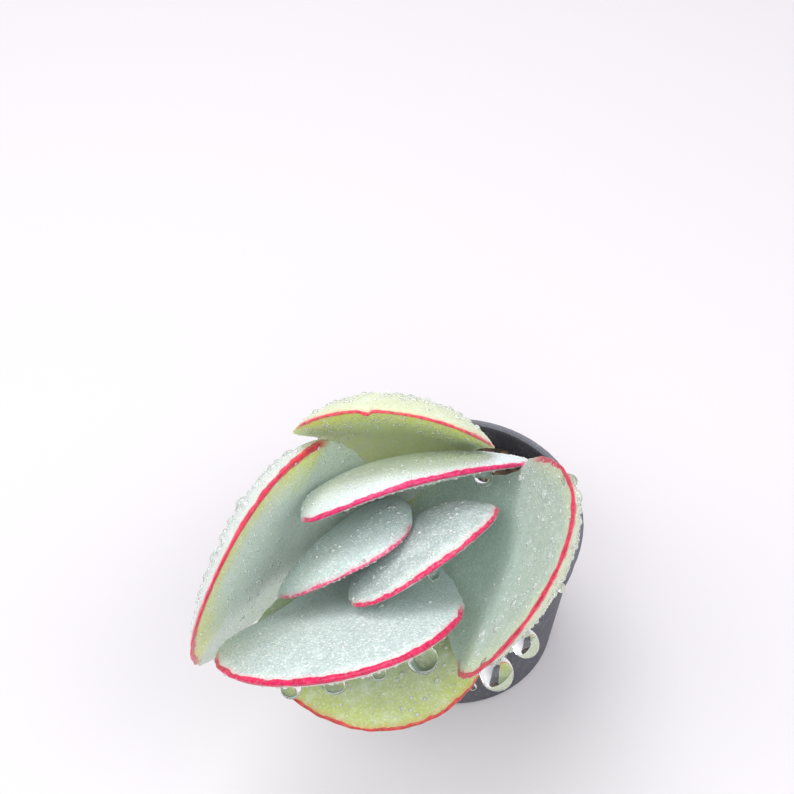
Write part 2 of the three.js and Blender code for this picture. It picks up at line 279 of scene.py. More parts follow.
# Drops that hang from a leaf. turn is measured from the tip, and share runs from the middle of a face to
# its rim; face is 1 on the inner side and -1 on the outer
HANGING_DROPS = [
    dict(leaf="leaf_second_right", turn=62, share=0.98, face=-1, radius=3.4, length=8.0),
    dict(leaf="leaf_second_right", turn=45, share=0.93, face=-1, radius=2.7, length=6.8),
    dict(leaf="leaf_second_right", turn=-41, share=1.0, face=-1, radius=1.6, length=2.6),
    dict(leaf="leaf_second_right", turn=19, share=0.8, face=-1, radius=0.9, length=2.6),
    dict(leaf="leaf_third_front", turn=-60, share=0.9, face=-1, radius=3.1, length=4.6),
    dict(leaf="leaf_third_front", turn=14, share=0.84, face=-1, radius=2.1, length=2.2),
    dict(leaf="leaf_third_front", turn=-10, share=0.82, face=-1, radius=2.1, length=2.0),
    dict(leaf="leaf_third_front", turn=-34, share=0.86, face=-1, radius=1.5, length=1.8),
    dict(leaf="leaf_third_back", turn=46, share=0.8, face=1, radius=2.1, length=3.6),
    dict(leaf="leaf_heart_right", turn=25, share=0.97, face=-1, radius=1.3, length=2.6),
    dict(leaf="leaf_heart_left", turn=20, share=0.98, face=-1, radius=0.8, length=1.6),
    dict(leaf="leaf_first_front", turn=-60, share=0.98, face=-1, radius=0.9, length=1.8),
]

# Form of a hanging drop: how low its belly sits and how blunt it is; as shares of its radius, how far in it
# starts and how far out it moves; as shares of its length, how far up it starts and how long its tips are
DROP_SIDES = 36
DROP_RINGS = 26
DROP_BELLY_POWER = 1.35
DROP_BLUNTNESS = 0.56
DROP_INWARD_START = 0.1
DROP_OUTWARD = 0.4
DROP_SUNK = 0.12
DROP_TIP = 0.02

# Drops that lie on a leaf, with the same turn, share and face, and their two half widths
LYING_DROPS = [
    ("leaf_second_right", -58, 0.62, 1, 1.2, 1.0),
    ("leaf_second_right", -42, 0.62, 1, 0.6, 0.6),
    ("leaf_second_right", -106, 0.86, 1, 1.0, 0.9),
    ("leaf_second_right", 88, 0.72, 1, 1.7, 1.1),
    ("leaf_second_right", 50, 0.62, 1, 1.2, 0.8),
    ("leaf_second_right", 26, 0.77, 1, 0.7, 0.6),
    ("leaf_second_right", 68, 0.72, 1, 1.1, 0.7),
    ("leaf_second_right", -30, 0.95, -1, 1.5, 1.3),
    ("leaf_second_right", -21, 0.95, -1, 1.0, 0.9),
    ("leaf_second_right", -8, 0.9, -1, 0.7, 0.6),
    ("leaf_second_right", 4, 0.9, -1, 0.8, 0.6),
    ("leaf_second_left", 34, 0.72, -1, 1.7, 1.6),
    ("leaf_second_left", 42, 0.72, -1, 0.8, 0.7),
    ("leaf_second_left", 22, 0.74, -1, 1.2, 1.0),
    ("leaf_second_left", 12, 0.76, -1, 0.9, 0.9),
    ("leaf_second_left", 0, 0.78, -1, 1.3, 1.1),
    ("leaf_second_left", -8, 0.84, -1, 1.2, 1.0),
    ("leaf_second_left", -15, 0.88, -1, 0.9, 0.7),
    ("leaf_second_left", 70, 0.76, -1, 0.7, 0.6),
    ("leaf_second_left", -84, 0.6, 1, 0.9, 0.5),
    ("leaf_second_left", -95, 0.5, 1, 0.6, 0.5),
    ("leaf_second_left", -100, 0.12, 1, 0.6, 0.5),
    ("leaf_first_front", -44, 0.74, 1, 0.8, 0.6),
    ("leaf_first_front", 30, 0.76, 1, 2.0, 1.2),
]
LYING_DROP_HEIGHT = 0.75
# Below 1, the rest of a lying drop is opaque near-white: painted light
LYING_DROP_CLEARNESS = 0.65

# Rows of beads near the rims: leaf, face, first and last turn, least and greatest share, count, sizes
BEAD_ROWS = [
    ("leaf_second_left", -1, -45, 84, 0.62, 0.95, 100, 0.4, 1.15),
    ("leaf_first_back", -1, -60, 75, 0.5, 0.92, 80, 0.3, 0.95),
    ("leaf_second_right", -1, -50, 80, 0.8, 0.98, 80, 0.3, 0.9),
    ("leaf_third_back", 1, -80, 60, 0.75, 0.98, 70, 0.2, 0.55),
    ("leaf_third_front", -1, -80, 70, 0.8, 0.98, 60, 0.2, 0.8),
    ("leaf_heart_right", -1, -50, 80, 0.85, 0.98, 30, 0.15, 0.45),
    ("leaf_heart_left", 1, -60, 80, 0.85, 0.98, 30, 0.15, 0.45),
    ("leaf_second_left", 1, -110, 20, 0.2, 0.85, 30, 0.25, 0.6),
    ("leaf_second_right", 1, -90, 90, 0.3, 0.9, 40, 0.25, 0.6),
    ("leaf_first_front", 1, -60, 60, 0.3, 0.9, 40, 0.2, 0.6),
    ("leaf_first_back", 1, -40, 40, 0.2, 0.8, 30, 0.2, 0.5),
]
ROW_BEAD_SMALLNESS = 2
ROW_BEAD_ROUNDNESS = (0.75, 1)
ROW_BEAD_HEIGHT = 0.7

# Fine beads everywhere: their turns, the shares of a face's area and the sizes that they are drawn from
BEADS_ON_A_FACE = 620
BEAD_TURNS = (-130, 130)
BEAD_AREA_SHARES = (0.02, 0.97)
BEAD_SIZES = (0.09, 0.26)
LARGE_BEAD_SHARE = 0.05
LARGE_BEAD_SIZES = (0.35, 0.65)
BEAD_ROUNDNESS = (0.8, 1)
BEAD_HEIGHT = 0.6
# Below 1, the rest of a bead is opaque near-white: painted light
BEAD_CLEARNESS = 0.5

# Steps for measuring which way a face looks, and a direction that no face looks along
TURN_STEP = 0.02
SHARE_STEP = 0.97
SLANTED = (0.3, 0.5, 0.81)


def srgb(red, green, blue):
    """A display colour of 0 to 255 as linear RGBA."""
    def linear(value):
        share = value / 255
        return share / 12.92 if share <= 0.04045 else ((share + 0.055) / 1.055) ** 2.4

    return (linear(red), linear(green), linear(blue), 1.0)


# Node helpers
class Nodes:
    """A short way to write a material's node tree."""

    def __init__(self, name):
        self.material = bpy.data.materials.new(name)
        self.material.use_nodes = True
        self.tree = self.material.node_tree
        self.shader = self.tree.nodes["Principled BSDF"]

    def add(self, kind, inputs=None, **settings):
        node = self.tree.nodes.new(kind)
        for key, value in settings.items():
            setattr(node, key, value)
        for key, value in (inputs or {}).items():
            self.give(node.inputs[key], value)
        return node

    def give(self, socket, value):
        if isinstance(value, bpy.types.NodeSocket):
            self.tree.links.new(value, socket)
        else:
            socket.default_value = value

    def point(self):
        return self.add("ShaderNodeTexCoord").outputs["Object"]

    def attribute(self, name):
        return self.add("ShaderNodeAttribute", attribute_name=name).outputs["Fac"]

    def noise(self, size_mm, detail=3.0, roughness=0.5, distortion=0.0):
        return self.add(
            "ShaderNodeTexNoise",
            {
                "Vector": self.point(),
                "Scale": 1 / (size_mm * MM),
                "Detail": detail,
                "Roughness": roughness,
                "Distortion": distortion,
            },
        ).outputs["Fac"]

    def cells(self, size_mm):
        return self.add(
            "ShaderNodeTexVoronoi",
            {"Vector": self.point(), "Scale": 1 / (size_mm * MM)},
        ).outputs["Distance"]

    def ramp(self, value, start, end, first=0.0, last=1.0):
        """Goes smoothly from first to last while a value goes from start to end."""
        return self.add(
            "ShaderNodeMapRange",
            {"Value": value, "From Min": start, "From Max": end, "To Min": first, "To Max": last},
            interpolation_type="SMOOTHSTEP",
        ).outputs["Result"]

    def math(self, operation, a, b):
        node = self.tree.nodes.new("ShaderNodeMath")
        node.operation = operation
        self.give(node.inputs[0], a)
        self.give(node.inputs[1], b)
        return node.outputs[0]

    def wander(self, noise, reach):
        """An offset of up to half a reach either way."""
        return self.math("MULTIPLY", self.math("SUBTRACT", noise, 0.5), reach)

    def mix(self, share, a, b):
        node = self.tree.nodes.new("ShaderNodeMix")
        node.data_type = "RGBA"
        self.give(node.inputs["Factor"], share)
        self.give(node.inputs["A"], a)
        self.give(node.inputs["B"], b)
        return node.outputs["Result"]

    def tint(self, colour, over, share, value, start, end):
        """Lays a tone over a colour, up to a share, while a value goes from start to end."""
        return self.mix(self.math("MULTIPLY", self.ramp(value, start, end), share), colour, srgb(*over))

    def bump(self, height, distance_mm, strength, below=None):
        inputs = {"Height": height, "Distance": distance_mm * MM, "Strength": strength}
        if below is not None:
            inputs["Normal"] = below
        return self.add("ShaderNodeBump", inputs).outputs["Normal"]

    def finish(self, **sockets):
        for name, value in sockets.items():
            self.give(self.shader.inputs[name.replace("_", " ")], value)
        return self.material


def leaf_material(name, leaf):
    n = Nodes(name)
    margin = n.attribute("margin_mm")
    inner = n.attribute("inner")
    along = n.attribute("along")
    shows = n.attribute("line_shows")
    broad = n.noise(size_mm=9, detail=2)
    patchy = n.noise(size_mm=3, detail=3)
    grain = n.noise(size_mm=0.5, detail=2, roughness=0.6)

    # Face: another tone towards the base, with a tinted band inside the margin. The face, base and outer
    # tones are partly painted fill light, set lighter where a face lies in shade
    inside = n.math("ADD", margin, n.wander(broad, BAND_WANDER))
    colour = n.mix(n.ramp(along, start=0.85, end=0.3), srgb(*leaf["face"]), srgb(*leaf["deep"]))
    band = n.math("MULTIPLY", n.ramp(inside, leaf["band_reach"], BAND_END), shows)
    colour = n.mix(n.math("MULTIPLY", band, BAND_STRENGTH), colour, srgb(*leaf["band"]))
    colour = n.mix(inner, srgb(*leaf["outer"]), colour)

    # Bloom: pale where it lies thick, a little darker where it has rubbed off, with bright specks that are
    # partly bloom and partly painted glints of tiny drops
    specks = leaf["specks"]
    colour = n.tint(colour, BLOOM_PALE, share=0.3, value=patchy, start=0.45, end=0.75)
    colour = n.tint(colour, BLOOM_RUBBED, share=0.12, value=patchy, start=0.42, end=0.25)
    colour = n.tint(colour, BLOOM_SPECK_AND_GLINT, share=specks, value=grain, start=0.54, end=0.66)
    colour = n.tint(colour, BLOOM_PIT, share=0.5 * specks, value=grain, start=0.46, end=0.34)

    # Margin line with a soft pink blush beside it, partly a painted highlight, broken up where it is thin
    # and fading at both ends
    half_width = leaf["line"]
    edge = srgb(*leaf["margin"])
    edge_shade = srgb(*[LINE_SHADE * v for v in leaf["margin"]])
    fray = n.noise(size_mm=1.1, detail=3)
    swell = n.noise(size_mm=5, detail=1)
    wandering = n.math("ADD", n.wander(swell, LINE_SWELL), n.wander(fray, LINE_FRAY))
    ragged = n.math("ADD", margin, wandering)
    blush_and_highlight = n.ramp(ragged, half_width + BLUSH_AND_HIGHLIGHT_REACH, half_width * BLUSH_AND_HIGHLIGHT_START_SHARE)
    blush_and_highlight = n.math("MULTIPLY", n.math("MULTIPLY", blush_and_highlight, BLUSH_AND_HIGHLIGHT_STRENGTH), shows)
    colour = n.mix(blush_and_highlight, colour, edge)
    line = n.ramp(ragged, half_width + LINE_SOFT_BEYOND, half_width - LINE_SOFT_WITHIN)
    flaws = n.ramp(n.noise(size_mm=0.7, detail=2), start=0.5, end=0.62)
    whole = n.math("SUBTRACT", 1, n.math("MULTIPLY", flaws, leaf["broken"]))
    line = n.math("MULTIPLY", n.math("MULTIPLY", line, shows), whole)
    colour = n.mix(line, colour, n.mix(n.ramp(fray, start=0.35, end=0.65), edge, edge_shade))

    pits = n.ramp(n.cells(size_mm=0.7), start=0.0, end=0.5)
    relief = n.bump(n.math("ADD", n.math("MULTIPLY", grain, 0.6), pits), distance_mm=0.05, strength=0.5)
    relief = n.bump(patchy, distance_mm=0.2, strength=0.3, below=relief)
    return n.finish(
        Base_Color=colour,
        Roughness=n.ramp(line, start=0, end=1, first=0.56, last=0.34),
        Normal=relief,
        Specular_IOR_Level=0.42,
        Subsurface_Weight=0.1,
        Subsurface_Radius=(1.0, 1.3, 0.6),
        Subsurface_Scale=0.0016,
        Sheen_Weight=0.15,
        Sheen_Roughness=0.5,
    )


def pot_material():
    n = Nodes("pot_plastic")
    cloud = n.noise(size_mm=14, detail=4, roughness=0.6)
    scratch = n.noise(size_mm=1.6, detail=5, roughness=0.65, distortion=0.4)
    fine = n.noise(size_mm=0.35, detail=2, roughness=0.6)
    height = n.add("ShaderNodeSeparateXYZ", {"Vector": n.point()}).outputs["Z"]
    rim_start, rim_end = (POT_HEIGHT - POT_DUSTY_AND_LIT_RIM) * MM, POT_HEIGHT * MM
    colour = n.mix(n.ramp(cloud, start=0.3, end=0.7), srgb(*POT_DARK), srgb(*POT_LIGHT))
    colour = n.tint(colour, POT_SCRATCH, share=0.5, value=scratch, start=0.56, end=0.7)
    colour = n.tint(colour, POT_SPECK, share=0.5, value=fine, start=0.62, end=0.72)
    # Paler along the rim's top: partly dust, partly a painted highlight where light catches the rim
    colour = n.tint(colour, POT_DUST_AND_RIM_HIGHLIGHT, share=0.35, value=height, start=rim_start, end=rim_end)
    relief = n.bump(fine, distance_mm=0.04, strength=0.6)
    relief = n.bump(scratch, distance_mm=0.08, strength=0.4, below=relief)
    rough = n.ramp(cloud, start=0.3, end=0.7, first=0.5, last=0.66)
    return n.finish(Base_Color=colour, Roughness=rough, Normal=relief)


def soil_material():
    n = Nodes("potting_mix")
    clump = n.noise(size_mm=2.5, detail=5, roughness=0.6)
    fine = n.noise(size_mm=0.6, detail=4, roughness=0.6)
    colour = n.mix(n.ramp(clump, start=0.35, end=0.65), srgb(*MIX_DARK), srgb(*MIX_LIGHT))
    colour = n.tint(colour, MIX_FLECK, share=0.5, value=fine, start=0.6, end=0.7)
    relief = n.bump(n.math("ADD", clump, fine), distance_mm=0.6, strength=0.9)
    return n.finish(Base_Color=colour, Roughness=0.95, Normal=relief)


def grit_material():
    n = Nodes("grit")
    shade = n.noise(size_mm=3.5, detail=1)
    fine = n.noise(size_mm=0.4, detail=3)
    colour = n.mix(n.ramp(shade, start=0.45, end=0.55), srgb(*GRIT_BROWN), srgb(*GRIT_PALE))
    colour = n.tint(colour, GRIT_STAIN, share=0.4, value=fine, start=0.5, end=0.7)
    relief = n.bump(fine, distance_mm=0.15, strength=0.7)
    return n.finish(Base_Color=colour, Roughness=0.9, Normal=relief)


def stem_material():
    n = Nodes("stem_bark")
    scar = n.attribute("scar")
    fibre = n.noise(size_mm=1.2, detail=4, roughness=0.6, distortion=0.6)
    fine = n.noise(size_mm=0.3, detail=3)
    colour = n.mix(n.ramp(fibre, start=0.35, end=0.65), srgb(*BARK_DARK), srgb(*BARK_LIGHT))
    colour = n.mix(n.math("MULTIPLY", scar, 0.6), colour, srgb(*BARK_SCAR))
    colour = n.tint(colour, BARK_CRACK, share=0.4, value=fine, start=0.55, end=0.7)
    relief = n.bump(n.math("ADD", fibre, fine), distance_mm=0.25, strength=0.7)
    return n.finish(Base_Color=colour, Roughness=0.85, Normal=relief)


def water_material(name, clearness):
    n = Nodes(name)
    # Where clearness is below 1, the rest of the drop is opaque near-white: painted light that lifts drops
    # which would otherwise render dark
    return n.finish(
        Base_Color=srgb(*WATER_TONE),
        Roughness=0.03,
        IOR=WATER_IOR,
        Transmission_Weight=clearness,
        Normal=n.bump(n.noise(size_mm=1.5, detail=1), distance_mm=0.02, strength=0.2),
    )


# Directions of the head, as in the solids
def unit(vector):
    return vector / np.linalg.norm(vector)


def direction(azimuth, elevation):
    a, e = math.radians(azimuth), math.radians(elevation)
    return np.array([math.cos(e) * math.cos(a), math.cos(e) * math.sin(a), math.sin(e)])


HEAD_AXIS = direction(HEAD_LEAN_AZIMUTH, HEAD_LEAN_ELEVATION)
HEAD_SIDE = unit(np.cross([0, 0, 1], HEAD_AXIS))
HEAD_UP = np.cross(HEAD_AXIS, HEAD_SIDE)
ROOT = np.array(HEAD_ROOT)


class StemLine:
    """The stem's centre line: a cubic bend from the foot, then straight up the head's axis."""

    def __init__(self):
        foot = np.array(STEM_FOOT, float)
        neck = ROOT - HEAD_AXIS * STEM_NECK_LENGTH
        top = ROOT + HEAD_AXIS * (PAIR_LEVELS[-1] - STEM_STOPS_BELOW)
        handles = [foot, foot + [0, 0, STEM_FOOT_PULL], neck - HEAD_AXIS * STEM_NECK_PULL, neck]
        t = np.linspace(0, 1, STEM_CURVE_POINTS)[:, None]
        weights = [(1 - t) ** 3, 3 * t * (1 - t) ** 2, 3 * t**2 * (1 - t), t**3]
        bend = sum(w * h for w, h in zip(weights, handles))
        self.points = np.vstack([bend, top])
        steps = np.linalg.norm(np.diff(self.points, axis=0), axis=1)
        self.reached = np.concatenate([[0], np.cumsum(steps)])
        self.length = self.reached[-1]

    def at(self, share):
        distance = share * self.length
        return np.array([np.interp(distance, self.reached, column) for column in self.points.T]).T

    def radius(self, share):
        return STEM_RADIUS_FOOT + (STEM_RADIUS_TOP - STEM_RADIUS_FOOT) * share

    def radius_at_level(self, level):
        return self.radius(1 - (PAIR_LEVELS[-1] - STEM_STOPS_BELOW - level) / self.length)


STEM = StemLine()


class Pose:
    """Where a leaf sits: its start, its own directions and its neck, as in the solids."""

    def __init__(self, leaf):
        facing = math.radians(leaf["facing"])
        outwards = HEAD_SIDE * math.cos(facing) + HEAD_UP * math.sin(facing)
        sideways = HEAD_UP * math.cos(facing) - HEAD_SIDE * math.sin(facing)
        spread = math.tan(math.radians(leaf["spread"]))
        lean = math.tan(math.radians(leaf["side"]))
        self.along = unit(HEAD_AXIS + outwards * spread + sideways * lean)
        self.inwards = unit(-outwards + (outwards @ self.along) * self.along)
        self.across = np.cross(self.along, self.inwards)
        level = PAIR_LEVELS[leaf["pair"]]
        self.start = ROOT + HEAD_AXIS * level + outwards * leaf["reach"]
        seat_level = level - leaf["drop"]
        seat_reach = STEM.radius_at_level(seat_level) + CLEARANCE + BASE_HALF
        back = ROOT + HEAD_AXIS * seat_level + outwards * seat_reach - self.start
        self.neck = np.array([back @ self.across, back @ self.along, back @ self.inwards])

    def place(self, local):
        return (
            self.start
            + local[..., 0:1] * self.across
            + local[..., 1:2] * self.along
            + local[..., 2:3] * self.inwards
        )


# Leaf form
def outline(turn, leaf):
    widest = leaf["widest"]
    c, s = np.cos(turn), np.sin(turn)
    tip = np.clip(c, 0, 1) ** TIP_ROUNDNESS
    base = np.clip(-c, 0, 1)
    bump = np.clip(np.cos(turn - math.radians(SHOULDER_TURN)), 0, 1) ** SHOULDER_POWER
    fuller = leaf.get("shoulder", 0) * bump
    across = np.where(c >= 0, s, s * (1 - WEDGE * base**WEDGE_POWER) - fuller)
    along = np.where(c >= 0, widest + (1 - widest) * tip, widest * (1 - base**BASE_ROUNDNESS))
    return across, along


def middle_height(across, along, leaf):
    cup_growth = 1 - CUP_LOST_AT_BASE * np.clip(1 - along, 0, None) ** CUP_LOSS_POWER
    bend = leaf["bend"] * leaf["length"] * along**2
    return bend + leaf["cup"] * leaf["width"] / 2 * across**2 * cup_growth


def half_thickness(share, turn, height_share, leaf):
    towards_base = np.clip(-np.cos(turn) - BASE_BLEND_START, 0, None) / (1 - BASE_BLEND_START)
    edge = RIM_HALF + (BASE_HALF - RIM_HALF) * towards_base**2
    roundness = np.where(height_share > 0, UPPER_ROUNDNESS, LOWER_ROUNDNESS)
    lens = np.clip(1 - share**LENS_POWER, 0, None) ** roundness
    return edge + (leaf["thick"] / 2 - edge) * lens


def leaf_phase(name):
    """Sets a leaf's waves apart from those of its neighbours."""
    return PHASE_STEP * list(LEAVES).index(name)


def waves(turn, phase):
    """A slow irregular wave round the outline, between about -1 and 1."""
    total = sum(weight * np.sin(count * turn + share * phase) for weight, count, share in MARGIN_WAVE_TERMS)
    return total / sum(weight for weight, _, _ in MARGIN_WAVE_TERMS)


def face_ripple(across, along, share, phase):
    """Slight unevenness of a face, in millimetres, that dies away at the rim."""
    ripple = np.sin(across * FACE_WAVES_ACROSS + phase) * np.sin(along * FACE_WAVES_ALONG - phase)
    return FACE_WAVE * ripple * (1 - np.clip(share, 0, 1) ** FACE_WAVE_POWER)


def notch_depth(leaf, turn):
    """How far the rim is nicked at a turn, in millimetres."""
    if "notch" not in leaf:
        return 0.0
    middle, depth, width = leaf["notch"]
    return depth * np.exp(-(((np.degrees(turn) - middle) / width) ** 2))


def leaf_points(leaf, pose, turn, share, height_share, phase):
    """Points of the leaf in millimetres. height_share runs from -1 on the outer face to 1 on the inner."""
    across, along = outline(turn, leaf)
    notch = notch_depth(leaf, turn)
    at_rim = share**MARGIN_WAVE_POWER
    grown = share * (1 + (MARGIN_WAVE * waves(turn, phase) - notch) * at_rim / (leaf["width"] / 2))
    across = grown * across
    along = leaf["widest"] + grown * (along - leaf["widest"])
    part = np.where(height_share > 0, UPPER_SHARE, LOWER_SHARE)
    half = half_thickness(np.clip(share, 0, 1), turn, height_share, leaf)
    height = middle_height(across, along, leaf) + height_share * part * half
    height = height + face_ripple(across, along, share, phase) + NOTCH_LIFT * notch * at_rim
    skewed = across + leaf["skew"] * across**2
    local = np.stack([skewed * leaf["width"] / 2, along * leaf["length"], height], -1)
    pull = np.clip(1 - along / NECK_SHARE, 0, None) ** 2
    return pose.place(local + pull[..., None] * pose.neck), along


def leaf_sections():
    """Shares and height shares of the rings, from the outer face's middle round the rim to the inner's."""
    face = 1 - (1 - np.linspace(0, 1, FACE_RINGS)[1:]) ** RING_CROWDING
    rows = [(s, -1.0) for s in face]
    for k in range(1, RIM_RINGS):
        turn = -math.pi / 2 + math.pi * k / RIM_RINGS
        rows.append((1 + math.cos(turn), math.sin(turn)))
    rows += [(s, 1.0) for s in face[::-1]]
    return rows


def line_shows(leaf, turns):
    """1 where the margin line shows and 0 past its ends, for turns in radians."""
    start, end = leaf["shows"]
    degrees = np.degrees(turns)
    inside = np.minimum(degrees - start, end - degrees)
    return np.clip(inside / LINE_FADE + 0.5, 0, 1)


# Meshes
def skin_faces(count, sides):
    """Faces of a closed skin over a first point, rings of points and a last point."""
    faces = []
    for k in range(sides):
        after = (k + 1) % sides
        faces.append((0, 1 + k, 1 + after))
        for ring in range(count - 1):
            a, b = 1 + ring * sides, 1 + (ring + 1) * sides
            faces.append((a + k, b + k, b + after, a + after))
        end = 1 + (count - 1) * sides
        faces.append((end + sides, end + after, end + k))
    return faces


def new_object(name, points, faces):
    mesh = bpy.data.meshes.new(name)
    mesh.from_pydata([tuple(p) for p in points], [], faces)
    mesh.update()
    shape = bmesh.new()
    shape.from_mesh(mesh)
    bmesh.ops.recalc_face_normals(shape, faces=shape.faces)
    shape.to_mesh(mesh)
    shape.free()
    mesh.polygons.foreach_set("use_smooth", [True] * len(mesh.polygons))
    obj = bpy.data.objects.new(name, mesh)
    bpy.context.scene.collection.objects.link(obj)
    return obj


def closed_skin(node, rings, first, last):
    """The finer skin of a solid, through rings of points in millimetres, with a point at each end."""
    points = np.vstack([first, rings.reshape(-1, 3), last]) * MM
    return new_object(node + "_skin", points, skin_faces(*rings.shape[:2]))


def add_attribute(obj, name, values):
    layer = obj.data.attributes.new(name, "FLOAT", "POINT")
    layer.data.foreach_set("value", np.asarray(values, np.float32))


def make_leaf(name, leaf):
    pose = Pose(leaf)
    phase = leaf_phase(name)
    turns = np.linspace(-math.pi, math.pi, LEAF_SIDES, endpoint=False)
    lumps = 1 + RIM_LUMPS * sum(np.sin(count * turns + share * phase) for count, share in RIM_LUMP_TERMS)
    rings, inners, alongs = [], [], []
    for share, height_share in leaf_sections():
        bulge = max(0.0, share - 1) * RIM_BULGE / (leaf["width"] / 2)
        heights = np.full(LEAF_SIDES, height_share)
        ring, along = leaf_points(leaf, pose, turns, min(share, 1) + bulge * lumps, heights, phase)
        rings.append(ring)
        alongs.append(along)
        inners.append(0.5 + 0.5 * heights)
    rings = np.array(rings)
    from_rim = np.linalg.norm(rings - rings[len(rings) // 2], axis=-1)
    middle = np.zeros(1)
    first = leaf_points(leaf, pose, middle, middle, -np.ones(1), phase)[0]
    last = leaf_points(leaf, pose, middle, middle, np.ones(1), phase)[0]
    obj = closed_skin(name, rings, first, last)
    shows = np.tile(line_shows(leaf, turns), len(rings))
    add_attribute(obj, "margin_mm", [leaf["width"] / 2, *from_rim.ravel(), leaf["width"] / 2])
    add_attribute(obj, "inner", [0, *np.concatenate(inners), 1])
    add_attribute(obj, "along", [leaf["widest"], *np.concatenate(alongs), leaf["widest"]])
    add_attribute(obj, "line_shows", [0, *shows, 0])
    obj.data.materials.append(leaf_material(name, leaf))
    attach(obj, "root")
    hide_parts(name)


# Stem with leaf scars
def make_stem():
    shares = np.linspace(STEM_STARTS_AT, 1, STEM_STEPS)
    centres = STEM.at(shares)
    tangents = np.gradient(centres, axis=0)
    turns = np.linspace(0, 2 * math.pi, STEM_SIDES, endpoint=False)
    cosines, sines = np.cos(turns)[:, None], np.sin(turns)[:, None]
    rings, scars = [], []
    for share, centre, tangent in zip(shares, centres, tangents):
        along = unit(tangent)
        side_a = unit(np.cross([1, 0, 0], along))
        side_b = np.cross(along, side_a)
        scar_turn = share / SCARS_END_AT * math.pi * SCAR_COUNT
        scar = 0.0 if share > SCARS_END_AT else math.sin(scar_turn) ** SCAR_SHARPNESS
        fibre = sum(size * np.sin(turns * count + share * wind) for size, count, wind in STEM_FIBRES)
        radius = (STEM.radius(share) + SCAR_SWELL * scar + fibre)[:, None]
        rings.append(centre + radius * cosines * side_a + radius * sines * side_b)
        scars.append(np.full(STEM_SIDES, scar))
    obj = closed_skin("stem", np.array(rings), centres[0], centres[-1])
    add_attribute(obj, "scar", [0, *np.concatenate(scars), 0])
    obj.data.materials.append(stem_material())
    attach(obj, "root")
    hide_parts("stem")


# Potting mix with a crumbly top, and grit lying on it
def crumb_height(x, y, reach):
    """Height of the mix's top at a place: a low dome with broad, middling and fine crumbs."""
    r = np.hypot(x, y) / reach
    broad = BROAD_CRUMB * np.sin(x + BROAD_CRUMB_SHIFT) * np.cos(y)
    size, a, b = MIDDLE_CRUMB
    middle = size * np.sin(a * x - b * y)
    size, a, b, c, d = FINE_CRUMB
    fine = size * np.sin(a * x + b * y) * np.cos(c * y - d * x)
    return SOIL_EDGE_HEIGHT + SOIL_CROWN * (1 - r * r) + broad + middle + fine


def make_soil():
    low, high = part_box("soil")
    reach = (high.x - low.x) / 2 / MM
    floor = low.z / MM
    turns = np.linspace(0, 2 * math.pi, SOIL_SIDES, endpoint=False)
    rings = []
    for radius, height in ((reach - SOIL_FOOT_INSET, floor), (reach, POT_HEIGHT - POT_COLLAR_HEIGHT)):
        heights = np.full(SOIL_SIDES, height)
        rings.append(np.stack([radius * np.cos(turns), radius * np.sin(turns), heights], -1))
    for radius in np.linspace(reach, reach / SOIL_RINGS, SOIL_RINGS):
        x, y = radius * np.cos(turns), radius * np.sin(turns)
        rings.append(np.stack([x, y, crumb_height(x, y, reach)], -1))
    top = crumb_height(np.zeros(1), np.zeros(1), reach)[0]
    obj = closed_skin("soil", np.array(rings), np.array([0, 0, floor]), np.array([0, 0, top]))
    obj.data.materials.append(soil_material())
    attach(obj, "root")
    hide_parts("soil")
    return reach


def make_grit(reach):
    draw = random.Random(SEED)
    shape = bmesh.new()
    for _ in range(GRIT_COUNT):
        radius = (reach - GRIT_EDGE_CLEARANCE) * math.sqrt(draw.random())
        turn = draw.uniform(0, 2 * math.pi)
        x, y = radius * math.cos(turn), radius * math.sin(turn)
        size = draw.uniform(*GRIT_RADII) * draw.uniform(*GRIT_SHRINK)
        z = float(crumb_height(np.array(x), np.array(y), reach)) + size * GRIT_LIFT
        made = bmesh.ops.create_icosphere(shape, subdivisions=1, radius=size * MM)["verts"]
        stretch = Vector([draw.uniform(*limits) for limits in GRIT_STRETCH])
        spin = draw.uniform(0, math.pi)
        c, s = math.cos(spin), math.sin(spin)
        for vert in made:
            p = Vector([v * longer * draw.uniform(*GRIT_CORNERS) for v, longer in zip(vert.co, stretch)])
            vert.co = Vector((p.x * c - p.y * s, p.x * s + p.y * c, p.z)) + Vector((x, y, z)) * MM
    mesh = bpy.data.meshes.new("soil_grit")
    shape.to_mesh(mesh)
    shape.free()
    obj = bpy.data.objects.new("soil_grit", mesh)
    bpy.context.scene.collection.objects.link(obj)
    obj.data.materials.append(grit_material())
    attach(obj, "root")


# Water: drops that hang, drops that lie on a face, and fine beads everywhere
def on_leaf(name, turn, share, face):
    """Points of a leaf's surface and the directions straight out of it."""
    leaf = LEAVES[name]
    pose = Pose(leaf)
    phase = leaf_phase(name)
    turn, share = np.atleast_1d(np.radians(turn)), np.atleast_1d(share)
    side = np.full(turn.shape, float(face))
    here = leaf_points(leaf, pose, turn, share, side, phase)[0]
    beside = leaf_points(leaf, pose, turn + TURN_STEP, share, side, phase)[0]
    within = leaf_points(leaf, pose, turn, share * SHARE_STEP, side, phase)[0]
    out = np.cross(beside - here, within - here)
    out /= np.linalg.norm(out, axis=-1, keepdims=True)
    return here, out * (np.sign(out @ pose.inwards) * face)[:, None]


def water_object(name, points, faces, clearness):
    """One mesh of many closed pieces, each with its own points and triangles."""
    starts = np.cumsum([0] + [len(p) for p in points[:-1]])
    joined = np.concatenate([np.array(own) + start for own, start in zip(faces, starts)])
    obj = new_object(name, np.concatenate(points) * MM, joined.tolist())
    obj.data.materials.append(water_material(name, clearness))
    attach(obj, "root")


